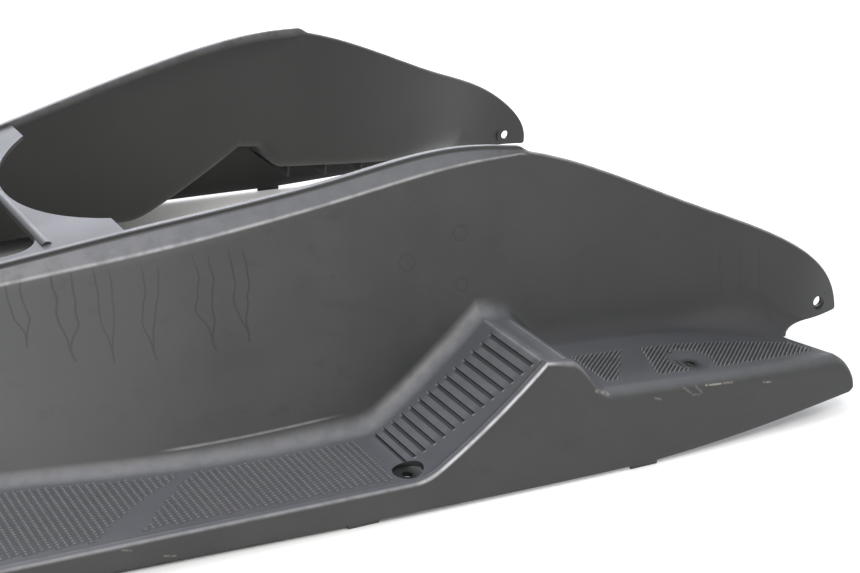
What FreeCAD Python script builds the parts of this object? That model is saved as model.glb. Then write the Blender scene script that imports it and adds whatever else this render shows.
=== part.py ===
import FreeCAD, Part
import math
import os

# Moulded floorboard of a scooter: one thin plastic shell, open underneath.
# Frame: +X to the rear, +Y to one side, +Z up, both sides alike about Y = 0.
# The origin is at the middle of the length, on the surface that the tabs rest on.
# All sizes are in millimetres and degrees.

# Overall length and wall
length = 870.0
wall = 3.0

# Places along the length, measured from the rear end of the ears
tunnel_from_rear = 562.0
roof_edge_from_rear = 487.0
ramp_foot_from_rear = 365.0
ramp_top_from_rear = 284.0
crest_from_rear = 277.0
hump_end_from_rear = 267.0
peak_from_rear = 247.0
platform_from_rear = 239.0
wing_from_rear = 112.0
platform_end_from_rear = 42.0
nose_from_rear = 36.0
ear_from_rear = 21.0

# Half widths of the tunnel wall at the foot height, from front to rear
foot_height = 17.0
foot_front = 130.0
foot_tunnel = 174.0
foot_roof_edge = 191.0
foot_ramp = 196.5
foot_peak = 197.0
foot_wing = 200.0
foot_ear = 214.5
foot_tip = 209.5

# Lean of the tunnel wall towards the middle, from front to rear
lean_front = 34.0
lean_tunnel = 34.0
lean_roof_edge = 28.5
lean_ramp = 17.5
lean_peak = 13.4
lean_wing = 12.0
lean_ear = 11.3

# Half widths of the skirt at its bottom edge, from front to rear, and its lean
skirt_front = 250.0
skirt_tunnel = 264.0
skirt_roof_edge = 268.0
skirt_ramp = 274.5
skirt_peak = 278.0
skirt_wing = 276.0
skirt_ear = 272.0
skirt_lean = 10.0
skirt_rise = 13.0
skirt_rise_middle = 5.2
rise_from_rear = 212.0
nose_height = 22.4

# Heights of the foot surface
floor_front = 9.0
floor_ramp = 18.5
ramp_sag = 2.5
ramp_foot_bend = 9.0
hump_height = 75.5
hump_end_height = 73.5
platform_height = 52.0
platform_end_height = 40.0

# Round hollow between wall and foot surface
cove_floor = 14.0
cove_platform = 32.0
cove_ear = 3.0
cove_widen_from_rear = 145.0

# Raised rim along the outer edge, which turns into a soft round edge on the platform
rim_width = 5.0
rim_height = 1.2
rim_round = 2.2
rim_slope = 1.2
soft_rim_width = 9.0
soft_rim_height = 0.1
soft_rim_round = 7.0

# Height of the wing at its peak, which the lip before it follows
peak_height = 172.0
crest_rise = 3.4

# Lip and shoulder band along the top of the tunnel, from front to rear
lip_front = 76.0
lip_tunnel = 100.0
lip_roof_edge = 114.3
lip_ramp = 140.0
lip_crest = 149.5
lip_peak = 157.0
lip_height_front = 85.0
lip_height_tunnel = 119.0
lip_height_roof_edge = 134.7
lip_height_ramp = 161.4
lip_height_crest = peak_height + crest_rise
lip_width = 4.5
lip_width_peak = 2.0
lip_step = 2.5
lip_height_peak = peak_height + lip_step
lip_round = 0.6
lip_depth = 6.5
band_drop = 9.5
band_drop_peak = 4.5

# Wing outline behind the peak, with the ear at its end
wing_height = 124.5
ear_top_height = 81.0
ear_bulge_height = 62.0
ear_tip_height = 43.5
ear_tip_round = 2.0
ear_under_height = 41.6
ear_bulge_from_rear = 4.5

# Ear hole with its flat seat and boss
ear_hole_from_rear = 18.8
ear_hole_radius = 3.75
ear_hole_height = 52.5
ear_seat_radius = 5.65
ear_seat_depth = 1.2
ear_boss_radius = 8.0
ear_boss_depth = 3.6

# Swept rear edge of the platform, its round corner and the round nose of the skirt below it
sweep_inner_from_rear = 66.0
sweep_inner_width = 226.0
sweep_outer_from_rear = 50.0
sweep_outer_width = 261.0
corner_from_rear = 40.0
corner_width = 266.5
nose_top_from_rear = 52.0
nose_top_height = 41.0
nose_middle_from_rear = 41.5
nose_middle_height = 34.0
nose_low_from_rear = 37.8
nose_low_height = 18.3

# Roof bridge, its hollow rear edge, its opening and the bar across it
roof_corner_width = 87.0
roof_hollow = 38.5
bar_width = 6.5
bar_rise = 2.0
bar_half_length = 94.0
opening_length = 134.0
opening_rear_width = 95.0
opening_front_width = 72.0
opening_round = 14.0

# Grooves across the ramp
groove_count = 14
groove_width = 1.9
groove_depth = 1.2
groove_inner = 206.0
groove_outer_foot = 245.0
groove_outer_top = 254.0
groove_first_from_rear = 366.0
groove_last_from_rear = 288.5

# Grip fields: ridges across the lower floor and slanting ridges on the platform
ridge_pitch = 5.0
ridge_height = 0.7
ridge_pad = 0.15
ridge_slant = 49.0
slant_pitch = 5.4
grip_gap_wall = 2.0
grip_gap_rim = 5.0
grip_gap_end = 13.0
grip_gap_rear = 5.0
floor_band_outer_from_rear = 551.0
floor_band_inner_from_rear = 490.0
floor_band_outer_width = 27.0
floor_band_inner_width = 12.0
platform_band_outer_from_rear = 231.0
platform_band_inner_from_rear = 203.0
platform_band_width = 26.0

# Screw seat at the foot of the ramp and dished screw seat on the platform
screw_from_rear = 369.0
screw_width = 254.0
screw_hole_radius = 3.25
screw_seat_radius = 9.5
screw_seat_depth = 2.5
screw_boss_radius = 12.5
screw_boss_depth = 6.0
dish_from_rear = 157.0
dish_width = 241.0
dish_radius = 14.0
dish_depth = 2.8

# Gussets under the platform and tabs under the skirt
gusset_count = 4
gusset_first_from_rear = 232.0
gusset_pitch = 34.0
gusset_thickness = 2.0
gusset_height = 13.0
tab_count = 4
tab_first_from_rear = 214.0
tab_pitch = 192.0
tab_length = 20.0
tab_drop = 2.5
tab_inset = 0.8
tab_thickness = 1.9

# Room that cutting shapes reach past what they cut
reach = 20.0

# Sections along a smooth stretch: about how far apart, at least how many, and the first step
section_gap = 20.0
section_least = 4
end_step = 1.5

rear = length / 2.0
front = rear - length


def at_rear(distance):
    """X of a place given by its distance from the rear end."""
    return rear - distance


x_tunnel = at_rear(tunnel_from_rear)
x_roof_edge = at_rear(roof_edge_from_rear)
x_ramp_foot = at_rear(ramp_foot_from_rear)
x_ramp_top = at_rear(ramp_top_from_rear)
x_crest = at_rear(crest_from_rear)
x_hump_end = at_rear(hump_end_from_rear)
x_peak = at_rear(peak_from_rear)
x_platform = at_rear(platform_from_rear)
x_wing = at_rear(wing_from_rear)
x_platform_end = at_rear(platform_end_from_rear)
x_sweep = at_rear(sweep_inner_from_rear)
x_nose = at_rear(nose_from_rear)
x_ear = at_rear(ear_from_rear)
x_rise = at_rear(rise_from_rear)
x_widen = at_rear(cove_widen_from_rear)

side_places = [front, x_tunnel, x_roof_edge, x_ramp_foot, x_peak, x_wing, x_ear, rear]
lip_places = [front, x_tunnel, x_roof_edge, x_ramp_foot, x_crest, x_peak]


def bends(places, values):
    """Second derivatives, at the places, of the natural smooth curve through the values."""
    count = len(places)
    upper = [0.0] * count
    result = [0.0] * count
    for i in range(1, count - 1):
        before = places[i] - places[i - 1]
        after = places[i + 1] - places[i]
        turn = (values[i + 1] - values[i]) / after - (values[i] - values[i - 1]) / before
        pivot = 2 * (before + after) - before * upper[i - 1]
        upper[i] = after / pivot
        result[i] = (6 * turn - before * result[i - 1]) / pivot
    for i in range(count - 2, 0, -1):
        result[i] -= upper[i] * result[i + 1]
    return result


def along(x, places, values):
    """Smooth curve through the values at the places, straight beyond both ends."""
    bend = bends(places, values)
    i = 0
    while i < len(places) - 2 and x > places[i + 1]:
        i += 1
    span = places[i + 1] - places[i]
    a = min(max((places[i + 1] - x) / span, 0.0), 1.0)
    b = 1.0 - a
    value = a * values[i] + b * values[i + 1]
    value += ((a ** 3 - a) * bend[i] + (b ** 3 - b) * bend[i + 1]) * span * span / 6
    chord = (values[i + 1] - values[i]) / span
    if x < places[0]:
        value += (chord - span * bend[i + 1] / 6) * (x - places[0])
    if x > places[-1]:
        value += (chord + span * bend[i] / 6) * (x - places[-1])
    return value


def blend(a, b, u):
    return a + (b - a) * u


def share(x, start, end):
    return (x - start) / (end - start)


def lean_slope(x):
    """Inward run of the tunnel wall for each millimetre of height."""
    leans = [lean_front, lean_tunnel, lean_roof_edge, lean_ramp, lean_peak, lean_wing, lean_ear, lean_ear]
    return math.tan(math.radians(along(x, side_places, leans)))


def wall_y(x, z):
    """Half width of the tunnel wall's outer face."""
    feet = [foot_front, foot_tunnel, foot_roof_edge, foot_ramp, foot_peak, foot_wing, foot_ear, foot_tip]
    return along(x, side_places, feet) - (z - foot_height) * lean_slope(x)


def skirt_y(x, z):
    """Half width of the skirt's outer face."""
    widths = [skirt_front, skirt_tunnel, skirt_roof_edge, skirt_ramp]
    widths += [skirt_peak, skirt_wing, skirt_ear, skirt_ear]
    return along(x, side_places, widths) - (z - tab_drop) * math.tan(math.radians(skirt_lean))


def lower_floor_z(x):
    return blend(floor_front, floor_ramp, share(x, front, x_ramp_foot))


def ramp_z(x):
    u = share(x, x_ramp_foot, x_ramp_top)
    return blend(floor_ramp, hump_height, u) - ramp_sag * 4 * u * (1 - u)


def floor_z(x):
    """Height of the foot surface: floor, ramp, hump, dip and platform."""
    bend_start = x_ramp_foot - ramp_foot_bend
    bend_end = x_ramp_foot + ramp_foot_bend
    if x <= bend_start:
        return lower_floor_z(x)
    if x <= bend_end:
        lift = ramp_z(bend_end) - lower_floor_z(bend_end)
        return lower_floor_z(x) + lift * share(x, bend_start, bend_end) ** 2
    if x <= x_ramp_top:
        return ramp_z(x)
    if x <= x_hump_end:
        return blend(hump_height, hump_end_height, share(x, x_ramp_top, x_hump_end))
    if x <= x_platform:
        u = share(x, x_hump_end, x_platform)
        return blend(hump_end_height, platform_height, (1 - math.cos(math.pi * u)) / 2)
    return blend(platform_height, platform_end_height, share(x, x_platform, x_platform_end))


def floor_drop(x):
    """Upright thickness of the foot surface, larger where it slopes."""
    slope = (floor_z(x + wall) - floor_z(x - wall)) / (2 * wall)
    return wall * math.sqrt(1 + slope * slope)


def eased(x, start, end):
    """Zero up to the start and one from the end on, with a soft change between."""
    u = min(max(share(x, start, end), 0.0), 1.0)
    return u * u * (3 - 2 * u)


def onto_platform(x, usual, on_platform):
    """A size that holds up to the ramp top and changes from there to the platform."""
    return blend(usual, on_platform, eased(x, x_ramp_top, x_platform))


def cove(x):
    """Radius of the round hollow, widest at the swept edge and run out towards the ear."""
    wide = blend(cove_floor, cove_platform, eased(x, x_widen, x_sweep))
    u = min(max(share(x, x_sweep, x_ear), 0.0), 1.0)
    return blend(wide, cove_ear, u * (2 - u))


def lip_y(x):
    return along(x, lip_places, [lip_front, lip_tunnel, lip_roof_edge, lip_ramp, lip_crest, lip_peak])


def lip_z(x):
    heights = [lip_height_front, lip_height_tunnel, lip_height_roof_edge]
    heights += [lip_height_ramp, lip_height_crest, lip_height_peak]
    return along(x, lip_places, heights)


def towards_peak(x, usual, at_peak):
    """A size that holds up to the ramp foot and changes from there to the peak."""
    if x <= x_ramp_foot:
        return usual
    u = share(x, x_ramp_foot, x_peak)
    return blend(usual, at_peak, u * u * u)


class Outline:
    """Closed outline in a plane across the length, drawn from point to point."""

    def __init__(self, x, y, z):
        self.x = x
        self.first = (y, z)
        self.here = (y, z)
        self.edges = []

    def point(self, spot):
        return FreeCAD.Vector(self.x, spot[0], spot[1])

    def line(self, y, z):
        segment = Part.LineSegment(self.point(self.here), self.point((y, z)))
        self.edges.append(segment.toShape())
        self.here = (y, z)

    def arc(self, middle, end):
        curve = Part.Arc(self.point(self.here), self.point(middle), self.point(end))
        self.edges.append(curve.toShape())
        self.here = end

    def close(self):
        self.line(self.first[0], self.first[1])
        return Part.Wire(self.edges)


def cove_points(foot_y, foot_z, slope, radius):
    """Start on the floor, middle and end on the wall of the round hollow."""
    lean = math.atan(slope)
    tangent = radius * math.tan((math.pi / 2 - lean) / 2)
    centre_y = foot_y + tangent
    centre_z = foot_z + radius
    far = math.hypot(tangent, radius)
    middle = (centre_y - radius * tangent / far, centre_z - radius * radius / far)
    end = (foot_y - tangent * math.sin(lean), foot_z + tangent * math.cos(lean))
    return (foot_y + tangent, foot_z), middle, end


def section(x, with_lip):
    """One side of the shell, cut across: skirt, rim, floor, cove, wall and lip."""
    z = floor_z(x)
    slope = lean_slope(x)
    inner_z = z - floor_drop(x)
    thick = wall * math.sqrt(1 + slope * slope)
    skirt_thick = wall / math.cos(math.radians(skirt_lean))
    rim_z = z + onto_platform(x, rim_height, soft_rim_height)
    edge_round = onto_platform(x, rim_round, soft_rim_round)
    soft = edge_round * (1 - math.sqrt(0.5))
    outline = Outline(x, skirt_y(x, tab_drop), tab_drop)
    outline.line(skirt_y(x, rim_z - edge_round), rim_z - edge_round)
    round_middle = (skirt_y(x, rim_z - soft) - soft, rim_z - soft)
    outline.arc(round_middle, (skirt_y(x, rim_z) - edge_round, rim_z))
    rim_y = skirt_y(x, rim_z) - onto_platform(x, rim_width, soft_rim_width)
    outline.line(rim_y, rim_z)
    outline.line(rim_y - rim_slope, z)
    start, middle, end = cove_points(wall_y(x, z), z, slope, cove(x))
    outline.line(start[0], start[1])
    outline.arc(middle, end)
    if with_lip:
        draw_lip(outline, x, thick)
    else:
        top = peak_height + reach
        outline.line(wall_y(x, top), top)
        outline.line(wall_y(x, top) - thick, top)
    start, middle, end = cove_points(wall_y(x, inner_z) - thick, inner_z, slope, cove(x) + wall)
    outline.line(end[0], end[1])
    outline.arc(middle, start)
    outline.line(skirt_y(x, inner_z) - skirt_thick, inner_z)
    outline.line(skirt_y(x, tab_drop) - skirt_thick, tab_drop)
    return outline.close()


def draw_lip(outline, x, thick):
    """Shoulder band and raised lip on top of the wall, and their inner faces."""
    top = lip_z(x)
    width = towards_peak(x, lip_width, lip_width_peak)
    shoulder = top - towards_peak(x, band_drop, band_drop_peak)
    inside = lip_y(x)
    outline.line(wall_y(x, shoulder), shoulder)
    outline.line(inside + width, top - lip_step)
    outline.line(inside + width, top - lip_round)
    outline.line(inside + width - lip_round, top)
    outline.line(inside, top)
    outline.line(inside, top - lip_depth)
    inner = min(shoulder, top - lip_depth) - lip_round
    outline.line(wall_y(x, inner) - thick, inner)


def stations(start, end):
    """Evenly spaced places from start to end."""
    steps = max(section_least, round(abs(end - start) / section_gap))
    return [blend(start, end, i / steps) for i in range(steps + 1)]


def stretch(start, end, with_lip):
    """Smooth length of the shell between two places, true in direction at both ends."""
    places = stations(start, end)
    places = [start, start + end_step] + places[1:-1] + [end - end_step, end]
    return Part.makeLoft([section(x, with_lip) for x in places], True, False)


def vector(x, y, z):
    return FreeCAD.Vector(x, y, z)


def smooth_edge(points):
    curve = Part.BSplineCurve()
    curve.interpolate(points)
    return curve.toShape()


def line_edge(a, b):
    return Part.LineSegment(a, b).toShape()


def arc_edge(a, b, c):
    return Part.Arc(a, b, c).toShape()


def prism(edges, direction):
    return Part.Face(Part.Wire(edges)).extrude(direction)


def flat_prism(points, direction):
    return Part.Face(Part.makePolygon(points + points[:1])).extrude(direction)


def wing_outline():
    """Upright block that holds the side outline of everything behind the peak."""
    y = 0.0
    low = -reach
    before = x_peak - reach
    beyond = rear + reach
    tip_height = ear_tip_height + ear_tip_round
    skirt_end = tab_drop + skirt_rise
    a = vector(before, y, low)
    b = vector(x_rise, y, low)
    c = vector(x_rise, y, tab_drop)
    rise = vector((x_rise + x_platform_end) / 2, y, tab_drop + skirt_rise_middle)
    d = vector(x_platform_end, y, skirt_end)
    nose = vector(x_nose, y, nose_height)
    nose_low = vector(at_rear(nose_low_from_rear), y, nose_low_height)
    e = vector(beyond, y, nose_height)
    f = vector(beyond, y, tip_height)
    tip = vector(rear, y, tip_height)
    bulge = vector(at_rear(ear_bulge_from_rear), y, ear_bulge_height)
    ear_top = vector(x_ear, y, ear_top_height)
    wing = vector(x_wing, y, wing_height)
    peak = vector(x_peak, y, peak_height)
    top = vector(before, y, peak_height + wall)
    edges = [
        line_edge(a, b),
        line_edge(b, c),
        arc_edge(c, rise, d),
        arc_edge(d, nose_low, nose),
        line_edge(nose, e),
        line_edge(e, f),
        line_edge(f, tip),
        smooth_edge([tip, bulge, ear_top, wing, peak, top]),
        line_edge(top, a),
    ]
    return prism(edges, vector(0, skirt_peak + reach, 0))


def under_ear():
    """What is cut away below the ear, inside the swept rear edge."""
    y = 0.0
    tip_soft = ear_tip_round * (1 - math.sqrt(0.5))
    a = vector(x_sweep, y, -reach)
    b = vector(x_sweep, y, ear_under_height)
    c = vector(rear - ear_tip_round, y, ear_tip_height)
    tip = vector(rear - tip_soft, y, ear_tip_height + tip_soft)
    d = vector(rear, y, ear_tip_height + ear_tip_round)
    e = vector(rear + reach, y, ear_tip_height + ear_tip_round)
    f = vector(rear + reach, y, -reach)
    edges = [
        line_edge(a, b),
        line_edge(b, c),
        arc_edge(c, tip, d),
        line_edge(d, e),
        line_edge(e, f),
        line_edge(f, a),
    ]
    return prism(edges, vector(0, sweep_inner_width, 0))


def platform_corner():
    """What lies behind the swept rear edge and the round rear corner."""
    a = vector(x_sweep, sweep_inner_width, -reach)
    b = vector(at_rear(sweep_outer_from_rear), sweep_outer_width, -reach)
    c = vector(at_rear(corner_from_rear), corner_width, -reach)
    d = vector(x_nose, skirt_peak, -reach)
    e = vector(rear + reach, skirt_peak, -reach)
    f = vector(rear + reach, sweep_inner_width, -reach)
    edges = [line_edge(a, b), arc_edge(b, c, d), line_edge(d, e), line_edge(e, f), line_edge(f, a)]
    return prism(edges, vector(0, 0, peak_height))


def above_nose():
    """What lies above the round nose at the rear end of the skirt."""
    y = sweep_inner_width
    a = vector(at_rear(nose_top_from_rear), y, nose_top_height)
    b = vector(at_rear(nose_middle_from_rear), y, nose_middle_height)
    c = vector(x_nose, y, nose_height)
    d = vector(rear + reach, y, nose_height)
    e = vector(rear + reach, y, peak_height)
    f = vector(a.x, y, peak_height)
    edges = [arc_edge(a, b, c), line_edge(c, d), line_edge(d, e), line_edge(e, f), line_edge(f, a)]
    return prism(edges, vector(0, skirt_peak, 0))


def half_shell():
    """One side of the shell, from the front end to the tip of the ear."""
    bend_start = x_ramp_foot - ramp_foot_bend
    bend_end = x_ramp_foot + ramp_foot_bend
    dip_end = x_platform + reach / 2
    shell = stretch(front, bend_start, True)
    shell = shell.fuse(stretch(bend_start, bend_end, True))
    shell = shell.fuse(stretch(bend_end, x_ramp_top, True))
    shell = shell.fuse(stretch(x_ramp_top, x_peak, True))
    behind = stretch(x_peak, dip_end, False)
    behind = behind.fuse(stretch(dip_end, x_sweep, False))
    behind = behind.fuse(stretch(x_sweep, rear + reach / 2, False))
    behind = behind.common(wing_outline())
    behind = behind.cut([under_ear(), platform_corner(), above_nose()])
    return shell.fuse(behind)


def under_floor_block(margin):
    """Upright block that lies below the foot surface by the margin."""
    start = at_rear(screw_from_rear) - 2 * screw_boss_radius
    end = at_rear(screw_from_rear) + 2 * screw_boss_radius
    top = [vector(x, 0, floor_z(x) - margin) for x in stations(start, end)]
    corners = top + [vector(end, 0, 0), vector(start, 0, 0)]
    return flat_prism(corners, vector(0, skirt_peak, 0))


def screw_seat(shell):
    """Deep flat seat with a hole and a boss, at the foot of the ramp."""
    x = at_rear(screw_from_rear)
    up = vector(0, 0, 1)
    seat_z = floor_z(x) - screw_seat_depth
    boss_z = seat_z - screw_boss_depth + wall
    boss = Part.makeCylinder(screw_boss_radius, hump_height, vector(x, screw_width, boss_z), up)
    shell = shell.fuse(boss.common(under_floor_block(wall / 3)))
    shell = shell.cut(Part.makeCylinder(screw_seat_radius, hump_height, vector(x, screw_width, seat_z), up))
    return shell.cut(Part.makeCylinder(screw_hole_radius, hump_height, vector(x, screw_width, 0), up))


def platform_dish(shell):
    """Shallow dished screw seat on the platform, with its hole and boss."""
    x = at_rear(dish_from_rear)
    up = vector(0, 0, 1)
    top = floor_z(x)
    seat_z = top - dish_depth
    boss = Part.makeCylinder(dish_radius, wall + dish_depth / 2, vector(x, dish_width, seat_z - wall), up)
    cone_radius = dish_radius * (1 + wall / dish_depth)
    cone = Part.makeCone(screw_hole_radius, cone_radius, dish_depth + wall, vector(x, dish_width, seat_z), up)
    shell = shell.fuse(boss).cut(cone)
    return shell.cut(Part.makeCylinder(screw_hole_radius, 2 * top, vector(x, dish_width, 0), up))


def ear_hole(shell):
    """Hole through the ear, with a boss inside and a flat seat outside."""
    out = vector(0, 1, 0)
    x = at_rear(ear_hole_from_rear)
    y = wall_y(x, ear_hole_height)
    inner = vector(x, y - ear_boss_depth, ear_hole_height)
    shell = shell.fuse(Part.makeCylinder(ear_boss_radius, ear_boss_depth - ear_seat_depth, inner, out))
    outer = vector(x, y - ear_seat_depth, ear_hole_height)
    shell = shell.cut(Part.makeCylinder(ear_seat_radius, reach, outer, out))
    return shell.cut(Part.makeCylinder(ear_hole_radius, 2 * reach, inner - out * reach, out))


def ramp_grooves():
    """Narrow grooves across the ramp, from the cove towards the rim."""
    grooves = []
    first = at_rear(groove_first_from_rear)
    last = at_rear(groove_last_from_rear)
    for i in range(groove_count):
        u = i / (groove_count - 1)
        x = blend(first, last, u)
        rise = math.degrees(math.atan2(floor_z(x + wall) - floor_z(x - wall), 2 * wall))
        run = blend(groove_outer_foot, groove_outer_top, u) - groove_inner
        low = vector(-groove_width / 2, 0, -groove_depth)
        groove = Part.makeBox(groove_width, run, 2 * groove_depth, low)
        groove.rotate(vector(0, 0, 0), vector(0, 1, 0), -rise)
        groove.translate(vector(x, groove_inner, floor_z(x)))
        grooves.append(groove)
    return Part.makeCompound(grooves)


def grip_inner(x):
    """Half width where a grip field starts, clear of the widest cove on the platform."""
    z = floor_z(x)
    radius = onto_platform(x, cove_floor, cove_platform)
    return cove_points(wall_y(x, z), z, lean_slope(x), radius)[0][0] + grip_gap_wall


def grip_outer(x):
    """Half width where a grip field ends beside the rim."""
    return skirt_y(x, floor_z(x)) - onto_platform(x, rim_width, soft_rim_width) - grip_gap_rim


def grip_field(inner_start, inner_end, outer_start, outer_end):
    """Upright block over a field between the cove and the rim."""
    inside = [vector(x, grip_inner(x), 0) for x in stations(inner_start, inner_end)]
    outside = [vector(x, grip_outer(x), 0) for x in stations(outer_start, outer_end)]
    edges = [
        smooth_edge(inside),
        line_edge(inside[-1], outside[-1]),
        smooth_edge(outside),
        line_edge(outside[0], inside[0]),
    ]
    return prism(edges, vector(0, 0, hump_height))


def ridge_comb(run, pitch, reach_y):
    """Flat comb of ridges along Y, on a pad whose top is at zero height."""
    count = int(run / pitch)
    start = -count * pitch / 2
    points = [vector(start, -reach_y, -wall / 2)]
    for i in range(count):
        points.append(vector(start + i * pitch, -reach_y, 0))
        points.append(vector(start + (i + 0.5) * pitch, -reach_y, ridge_height))
    points.append(vector(-start, -reach_y, 0))
    points.append(vector(-start, -reach_y, -wall / 2))
    return flat_prism(points, vector(0, 2 * reach_y, 0))


def laid_comb(x, y, run, pitch, slant):
    """Comb that lies on the foot surface around a place, turned by the slant."""
    comb = ridge_comb(run, pitch, run / 2)
    rise = math.degrees(math.atan2(floor_z(x + wall) - floor_z(x - wall), 2 * wall))
    comb.rotate(vector(0, 0, 0), vector(0, 0, 1), slant)
    comb.rotate(vector(0, 0, 0), vector(0, 1, 0), -rise)
    comb.translate(vector(x, y, floor_z(x) + ridge_pad))
    return comb


def floor_grip():
    """Ridges across the lower floor, in two fields with a smooth slanting band between."""
    band_outer = at_rear(floor_band_outer_from_rear)
    band_inner = at_rear(floor_band_inner_from_rear)
    start = front + grip_gap_end
    end = x_ramp_foot - grip_gap_end
    middle = (start + end) / 2
    comb = laid_comb(middle, (foot_tunnel + skirt_tunnel) / 2, end - start, ridge_pitch, 0)
    ahead = grip_field(start, band_inner, start, band_outer)
    behind = grip_field(band_inner + floor_band_inner_width, end, band_outer + floor_band_outer_width, end)
    return [comb.common(ahead), comb.common(behind)]


def platform_grip():
    """Slanting ridges on the platform, in two fields with a smooth band between."""
    start = x_platform + grip_gap_rim
    band_outer = at_rear(platform_band_outer_from_rear)
    band_inner = at_rear(platform_band_inner_from_rear)
    end_inner = x_sweep - grip_gap_rear
    end_outer = at_rear(sweep_outer_from_rear) - grip_gap_rear
    middle = (start + end_outer) / 2
    run = 2 * (end_outer - start)
    comb = laid_comb(middle, (foot_wing + skirt_wing) / 2, run, slant_pitch, ridge_slant)
    ahead = grip_field(start, band_inner, start, band_outer)
    behind = grip_field(band_inner + platform_band_width, end_inner, band_outer + platform_band_width, end_outer)
    return [comb.common(ahead), comb.common(behind)]


def gussets():
    """Upright ribs across the underside of the platform."""
    plates = []
    for i in range(gusset_count):
        x = at_rear(gusset_first_from_rear) + i * gusset_pitch
        z = floor_z(x)
        under = z - floor_drop(x)
        slope = lean_slope(x)
        foot = wall_y(x, under) - wall * math.sqrt(1 + slope * slope)
        start = cove_points(foot, under, slope, cove(x) + wall)[0][0]
        end = skirt_y(x, under) - wall
        low = vector(x - gusset_thickness / 2, start, z - gusset_height)
        plates.append(Part.makeBox(gusset_thickness, end - start, gusset_height - wall / 2, low))
    return plates


def tabs():
    """Small feet under the bottom edge of the skirt."""
    feet = []
    for i in range(tab_count):
        x = at_rear(tab_first_from_rear) - i * tab_pitch
        y = skirt_y(x, tab_drop) - tab_inset - tab_thickness
        low = vector(x - tab_length / 2, y, 0)
        feet.append(Part.makeBox(tab_length, tab_thickness, tab_drop + wall, low))
    return feet


def end_flanges():
    """Upright closing plates under the front edge and under the swept rear edge."""
    inside = wall_y(front, floor_front)
    outside = skirt_y(front, floor_front) - wall
    low = vector(front, inside, tab_drop)
    front_plate = Part.makeBox(wall, outside - inside, floor_front - wall / 2 - tab_drop, low)
    bottom = tab_drop + skirt_rise + wall
    a = vector(x_sweep, sweep_inner_width, bottom)
    b = vector(at_rear(sweep_outer_from_rear), sweep_outer_width, bottom)
    back = vector(-wall, 0, 0)
    height = platform_end_height - wall / 2 - bottom
    rear_plate = flat_prism([a, b, b + back, a + back], vector(0, 0, height))
    return [front_plate, rear_plate]


def roof_bridge():
    """Roof between the two lips, with its hollow rear edge, its opening and the bar."""
    places = stations(front, x_roof_edge)
    top = [vector(x, -lip_peak, lip_z(x) - lip_step) for x in places]
    low = [point - vector(0, 0, wall) for point in top]
    side = [smooth_edge(top), line_edge(top[-1], low[-1]), smooth_edge(low), line_edge(low[0], top[0])]
    slab = prism(side, vector(0, 2 * lip_peak, 0))
    right = [vector(x, lip_y(x) + lip_width / 2, 0) for x in places]
    left = [vector(point.x, -point.y, 0) for point in right]
    plan = [smooth_edge(right), line_edge(right[-1], left[-1]), smooth_edge(left), line_edge(left[0], right[0])]
    roof = slab.common(prism(plan, vector(0, 0, peak_height)))
    hollow_radius = (roof_corner_width ** 2 + roof_hollow ** 2) / (2 * roof_hollow)
    hollow_x = x_roof_edge - roof_hollow + hollow_radius
    roof = roof.cut(Part.makeCylinder(hollow_radius, peak_height, vector(hollow_x, 0, 0)))
    bar_rear = x_roof_edge - roof_hollow
    bar_front = bar_rear - bar_width
    opening_front = bar_front - opening_length
    corners = [
        vector(opening_front, -opening_front_width, 0),
        vector(bar_front, -opening_rear_width, 0),
        vector(bar_front, opening_rear_width, 0),
        vector(opening_front, opening_front_width, 0),
    ]
    opening = flat_prism(corners, vector(0, 0, peak_height))
    upright = [edge for edge in opening.Edges if edge.BoundBox.ZLength > reach]
    roof = roof.cut(opening.makeFillet(opening_round, upright))
    return roof.fuse(roof_bar(bar_front, bar_rear))


def roof_bar(bar_front, bar_rear):
    """Rounded bar across the roof between the opening and the hollow rear edge."""
    middle = (bar_front + bar_rear) / 2
    base = lip_z(middle) - lip_step
    y = -bar_half_length
    a = vector(bar_front, y, base - wall / 2)
    b = vector(bar_front, y, base)
    c = vector(middle, y, base + bar_rise)
    d = vector(bar_rear, y, base)
    e = vector(bar_rear, y, base - wall / 2)
    edges = [line_edge(a, b), arc_edge(b, c, d), line_edge(d, e), line_edge(e, a)]
    return prism(edges, vector(0, 2 * bar_half_length, 0))


def floorboard():
    side = half_shell()
    side = side.cut(ramp_grooves())
    side = side.fuse(gussets() + tabs() + end_flanges() + floor_grip() + platform_grip())
    side = screw_seat(side)
    side = platform_dish(side)
    side = ear_hole(side)
    other = side.mirror(vector(0, 0, 0), vector(0, 1, 0))
    return side.fuse([other, roof_bridge()])


os.makedirs("parts", exist_ok=True)
shape = floorboard()
shape.exportStep("parts/floorboard.step")
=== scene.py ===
import math
from itertools import groupby

import bmesh
import bpy
import numpy as np
from mathutils import Matrix, Vector


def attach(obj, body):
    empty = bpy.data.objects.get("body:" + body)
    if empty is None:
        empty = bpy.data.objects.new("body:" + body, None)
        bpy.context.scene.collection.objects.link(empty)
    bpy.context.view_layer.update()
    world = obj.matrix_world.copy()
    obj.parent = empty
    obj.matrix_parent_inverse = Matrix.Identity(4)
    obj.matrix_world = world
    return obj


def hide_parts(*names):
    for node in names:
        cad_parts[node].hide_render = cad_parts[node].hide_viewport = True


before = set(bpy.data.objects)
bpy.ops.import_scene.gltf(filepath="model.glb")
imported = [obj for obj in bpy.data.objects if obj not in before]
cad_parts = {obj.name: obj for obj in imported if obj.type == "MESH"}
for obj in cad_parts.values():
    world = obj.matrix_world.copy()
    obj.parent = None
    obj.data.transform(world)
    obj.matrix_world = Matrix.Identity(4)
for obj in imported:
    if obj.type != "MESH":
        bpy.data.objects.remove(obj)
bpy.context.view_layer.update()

# Sizes of the moulding, in millimetres and degrees, as in its CAD model
MM = 0.001
length = 870.0
wall = 3.0
rear = length / 2
front = -length / 2

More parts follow.
